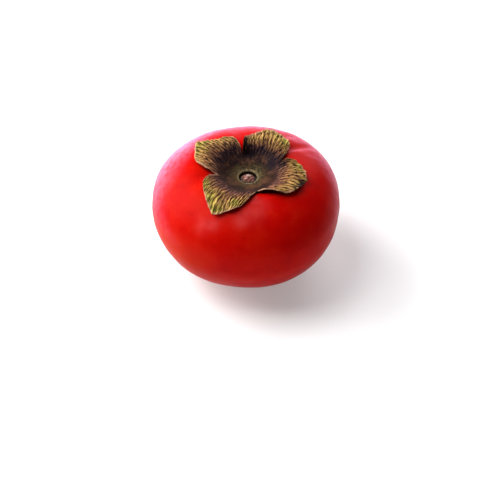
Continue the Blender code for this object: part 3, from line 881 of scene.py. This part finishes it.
def round_the_stalk(leaf, colour, blotch, fine):
    """Brown streaks down the bowl, an olive mound, the collar's pale crest, and the dark pit inside it,
    which is painted shade in the gap round the stub.
    """
    stalk = leaf.attribute("stalk")
    streak = leaf.both(leaf.ramp(blotch, 0.46, 0.62), leaf.ramp(stalk, 1.35, 0.9))
    streak = leaf.both(streak, leaf.ramp(fine, 0.35, 0.6, 0.25, 0.8))
    colour = leaf.mix(streak, colour, BOWL_STREAK)
    spread = leaf.math("ADD", stalk, leaf.ramp(blotch, 0.3, 0.7, -0.16, 0.16))
    in_front = leaf.ramp(leaf.coordinate("Y"), 1.0, 6.0, 1.0, 0.45)
    mound = leaf.both(leaf.ramp(spread, 0.50, 0.95, 0.9, 0.0), in_front)
    colour = leaf.mix(mound, colour, leaf.mix(leaf.ramp(fine, 0.38, 0.60), DARK_OLIVE, LIGHT_OLIVE))
    crest = leaf.both(leaf.ramp(stalk, 0.48, 0.51), leaf.ramp(stalk, 0.55, 0.61, 1.0, 0.0))
    crest = leaf.both(crest, leaf.ramp(fine, 0.3, 0.55, 0.2, 0.9))
    colour = leaf.mix(crest, colour, COLLAR_CREST)
    # Painted shade: the pit inside the collar is near black, in the gap round the stub.
    return leaf.mix(leaf.ramp(stalk, 0.465, 0.495, 1.0, 0.0), colour, PIT_PAINTED_SHADE)


def calyx_material():
    """Dry leaf: olive black round the stalk, purple brown with tan ribs, and greenish at the tips."""
    leaf = Shader("dry_calyx_leaf")
    blotch = leaf.noise(5.0, detail=4.0, roughness=0.6)
    fine = leaf.noise(0.9, detail=4.0, roughness=0.65)
    along = leaf.vector(leaf.attribute("across"), 60.0, leaf.attribute("reach"), 5.0)
    fibre = leaf.noise(1.0 / MM, detail=3.0, place=along)
    colour = ribbed(leaf, fibre, *leaf_colours(leaf, blotch, fine))
    colour = dark_and_pale_places(leaf, colour, fibre, fine)
    colour = round_the_stalk(leaf, colour, blotch, fine)
    # Painted shade: the underside and the lower half of the margin's wall are darkened beneath the lifted
    # lobes.
    colour = leaf.mix(leaf.ramp(leaf.attribute("under"), 0.3, 0.8), colour, UNDERSIDE_PAINTED_SHADE)
    leaf.bump(leaf.math("ADD", leaf.both(fine, 0.5), leaf.both(fibre, 0.9)), 0.22)
    leaf.surface.inputs["Specular IOR Level"].default_value = 0.06
    return leaf.finish(colour, leaf.ramp(fine, 0.3, 0.7, 0.5, 0.75))


def wood_material():
    """The stub's broken wood: pinkish brown knobs with painted glints on their highest tops, painted shade
    in the low cracks between them, and sides painted dark as shade.
    """
    wood = Shader("broken_stalk_wood")
    level = wood.attribute("level")
    grain = wood.noise(0.45, detail=5.0, roughness=0.7)
    tint = wood.noise(1.6, detail=3.0)
    colour = wood.mix(wood.ramp(tint, 0.42, 0.58), BROWN_WOOD, PINKISH_WOOD)
    colour = wood.mix(wood.ramp(grain, 0.56, 0.68, 0.0, 0.5), colour, PALE_GRAIN)
    # Painted highlight: the highest knobs are painted with a pale glint.
    colour = wood.mix(wood.ramp(level, 1.60, 1.85), colour, PAINTED_GLINT)
    # Painted shade: the low places between the knobs are painted black.
    colour = wood.mix(wood.ramp(level, 0.72, 1.0, 1.0, 0.0), colour, PAINTED_CRACK_SHADE)
    # Painted shade: the stub's rim and sides are darkened in the gap round it.
    colour = wood.mix(wood.ramp(wood.attribute("share"), 0.90, 1.0), colour, STUB_SIDE_PAINTED_SHADE)
    wood.bump(grain, 0.15)
    return wood.finish(colour, wood.ramp(grain, 0.4, 0.62, 0.5, 0.2))


def style_material():
    style = Shader("dry_style")
    streaks = style.noise(0.3, detail=4.0, place=style.stretched(1.0, 1.0, 0.3))
    style.bump(streaks, 0.1)
    colour = style.mix(style.ramp(streaks, 0.4, 0.65), DARK_STYLE, LIGHT_STYLE)
    return style.finish(colour, style.ramp(streaks, 0.3, 0.7, 0.6, 0.85))


def floor_material():
    """A pale floor that glows a little, and more further out, so that it runs into the white backdrop."""
    floor = Shader("pale_floor")
    floor.surface.inputs["Emission Color"].default_value = (*WHITE, 1.0)
    glow = floor.ramp(floor.from_axis(), 500.0, 1300.0, 0.30, 1.0)
    floor.set(floor.surface, "Emission Strength", glow)
    return floor.finish(floor.mix(floor.noise(60.0, detail=2.0), *FLOOR_TONES), 0.9)


# The studio

def add_floor():
    mesh = bpy.data.meshes.new("floor")
    corners = [(x * FLOOR_HALF, y * FLOOR_HALF, 0.0) for x, y in ((-1, -1), (1, -1), (1, 1), (-1, 1))]
    mesh.from_pydata(corners, [], [(0, 1, 2, 3)])
    mesh.materials.append(floor_material())
    floor = bpy.data.objects.new("floor", mesh)
    bpy.context.scene.collection.objects.link(floor)


def add_light(name, azimuth, elevation, distance, size, power, colour=WHITE):
    """A square softbox that faces the fruit, with angles in degrees, lengths in metres, power in watts."""
    data = bpy.data.lights.new(name, "AREA")
    data.shape = "SQUARE"
    data.size = size
    data.energy = power
    data.color = colour
    light = bpy.data.objects.new(name, data)
    turn, rise = math.radians(azimuth), math.radians(elevation)
    direction = Vector((math.cos(rise) * math.cos(turn), math.cos(rise) * math.sin(turn), math.sin(rise)))
    light.location = Vector((0.0, 0.0, EQUATOR_HEIGHT * MM)) + direction * distance
    light.rotation_euler = (-direction).to_track_quat("-Z", "Y").to_euler()
    bpy.context.scene.collection.objects.link(light)


def add_world():
    """A dim white room, brighter towards the horizon, with a white backdrop behind the fruit."""
    world = bpy.data.worlds.new("white_room")
    world.use_nodes = True
    nodes, links = world.node_tree.nodes, world.node_tree.links
    place = nodes.new("ShaderNodeTexCoord")
    parts = nodes.new("ShaderNodeSeparateXYZ")
    links.new(place.outputs["Generated"], parts.inputs[0])
    fall = nodes.new("ShaderNodeMapRange")
    fall.interpolation_type = "SMOOTHSTEP"
    for socket, value in (("From Min", 0.10), ("From Max", 0.45), ("To Min", 0.16), ("To Max", 0.08)):
        fall.inputs[socket].default_value = value
    links.new(parts.outputs["Z"], fall.inputs["Value"])
    seen = nodes.new("ShaderNodeLightPath").outputs["Is Camera Ray"]
    strength = nodes.new("ShaderNodeMath")
    strength.operation = "MAXIMUM"
    links.new(fall.outputs["Result"], strength.inputs[0])
    links.new(seen, strength.inputs[1])
    links.new(strength.outputs[0], nodes["Background"].inputs["Strength"])
    nodes["Background"].inputs["Color"].default_value = (*WHITE, 1.0)
    bpy.context.scene.world = world


def add_camera():
    """Looks down on the fruit from the front, with the fruit's middle a little above the frame's."""
    elevation = math.radians(CAMERA_ELEVATION)
    fruit = Vector((0.0, 0.0, EQUATOR_HEIGHT * MM))
    towards_camera = Vector((0.0, -math.cos(elevation), math.sin(elevation)))
    image_up = Vector((0.0, math.sin(elevation), math.cos(elevation)))
    right = Vector((1.0, 0.0, 0.0))
    across, down = ((FRAME_SIDE / 2 - place) * PIXEL for place in FRUIT_PIXEL)
    target = fruit + right * across - image_up * down
    data = bpy.data.cameras.new("camera")
    data.sensor_width = SENSOR_WIDTH
    data.lens = SENSOR_WIDTH * CAMERA_DISTANCE / (FRAME_SIDE * PIXEL)
    camera = bpy.data.objects.new("camera", data)
    camera.location = fruit + towards_camera * CAMERA_DISTANCE
    camera.rotation_euler = (target - camera.location).to_track_quat("-Z", "Y").to_euler()
    bpy.context.scene.collection.objects.link(camera)
    bpy.context.scene.camera = camera


def add_studio():
    add_floor()
    add_world()
    add_light("key_softbox", azimuth=160.0, elevation=30.0, distance=0.9, size=0.75, power=12.2)
    add_light(
        "back_softbox", azimuth=74.0, elevation=30.0, distance=1.0, size=0.8, power=7.4,
        colour=PINKISH_WHITE,
    )
    add_light("fill_softbox", azimuth=180.0, elevation=62.0, distance=1.0, size=0.6, power=7.4)
    bpy.context.scene.view_settings.view_transform = "Standard"
    add_camera()


def dress(piece, node, material):
    piece.data.materials.append(material)
    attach(piece, "root")
    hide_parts(node)


dress(make_skin(), "fruit", skin_material())
dress(make_calyx(), "calyx", calyx_material())
dress(make_stub(), "stem_stub", wood_material())
dress(make_style(), "style_tip", style_material())
add_studio()
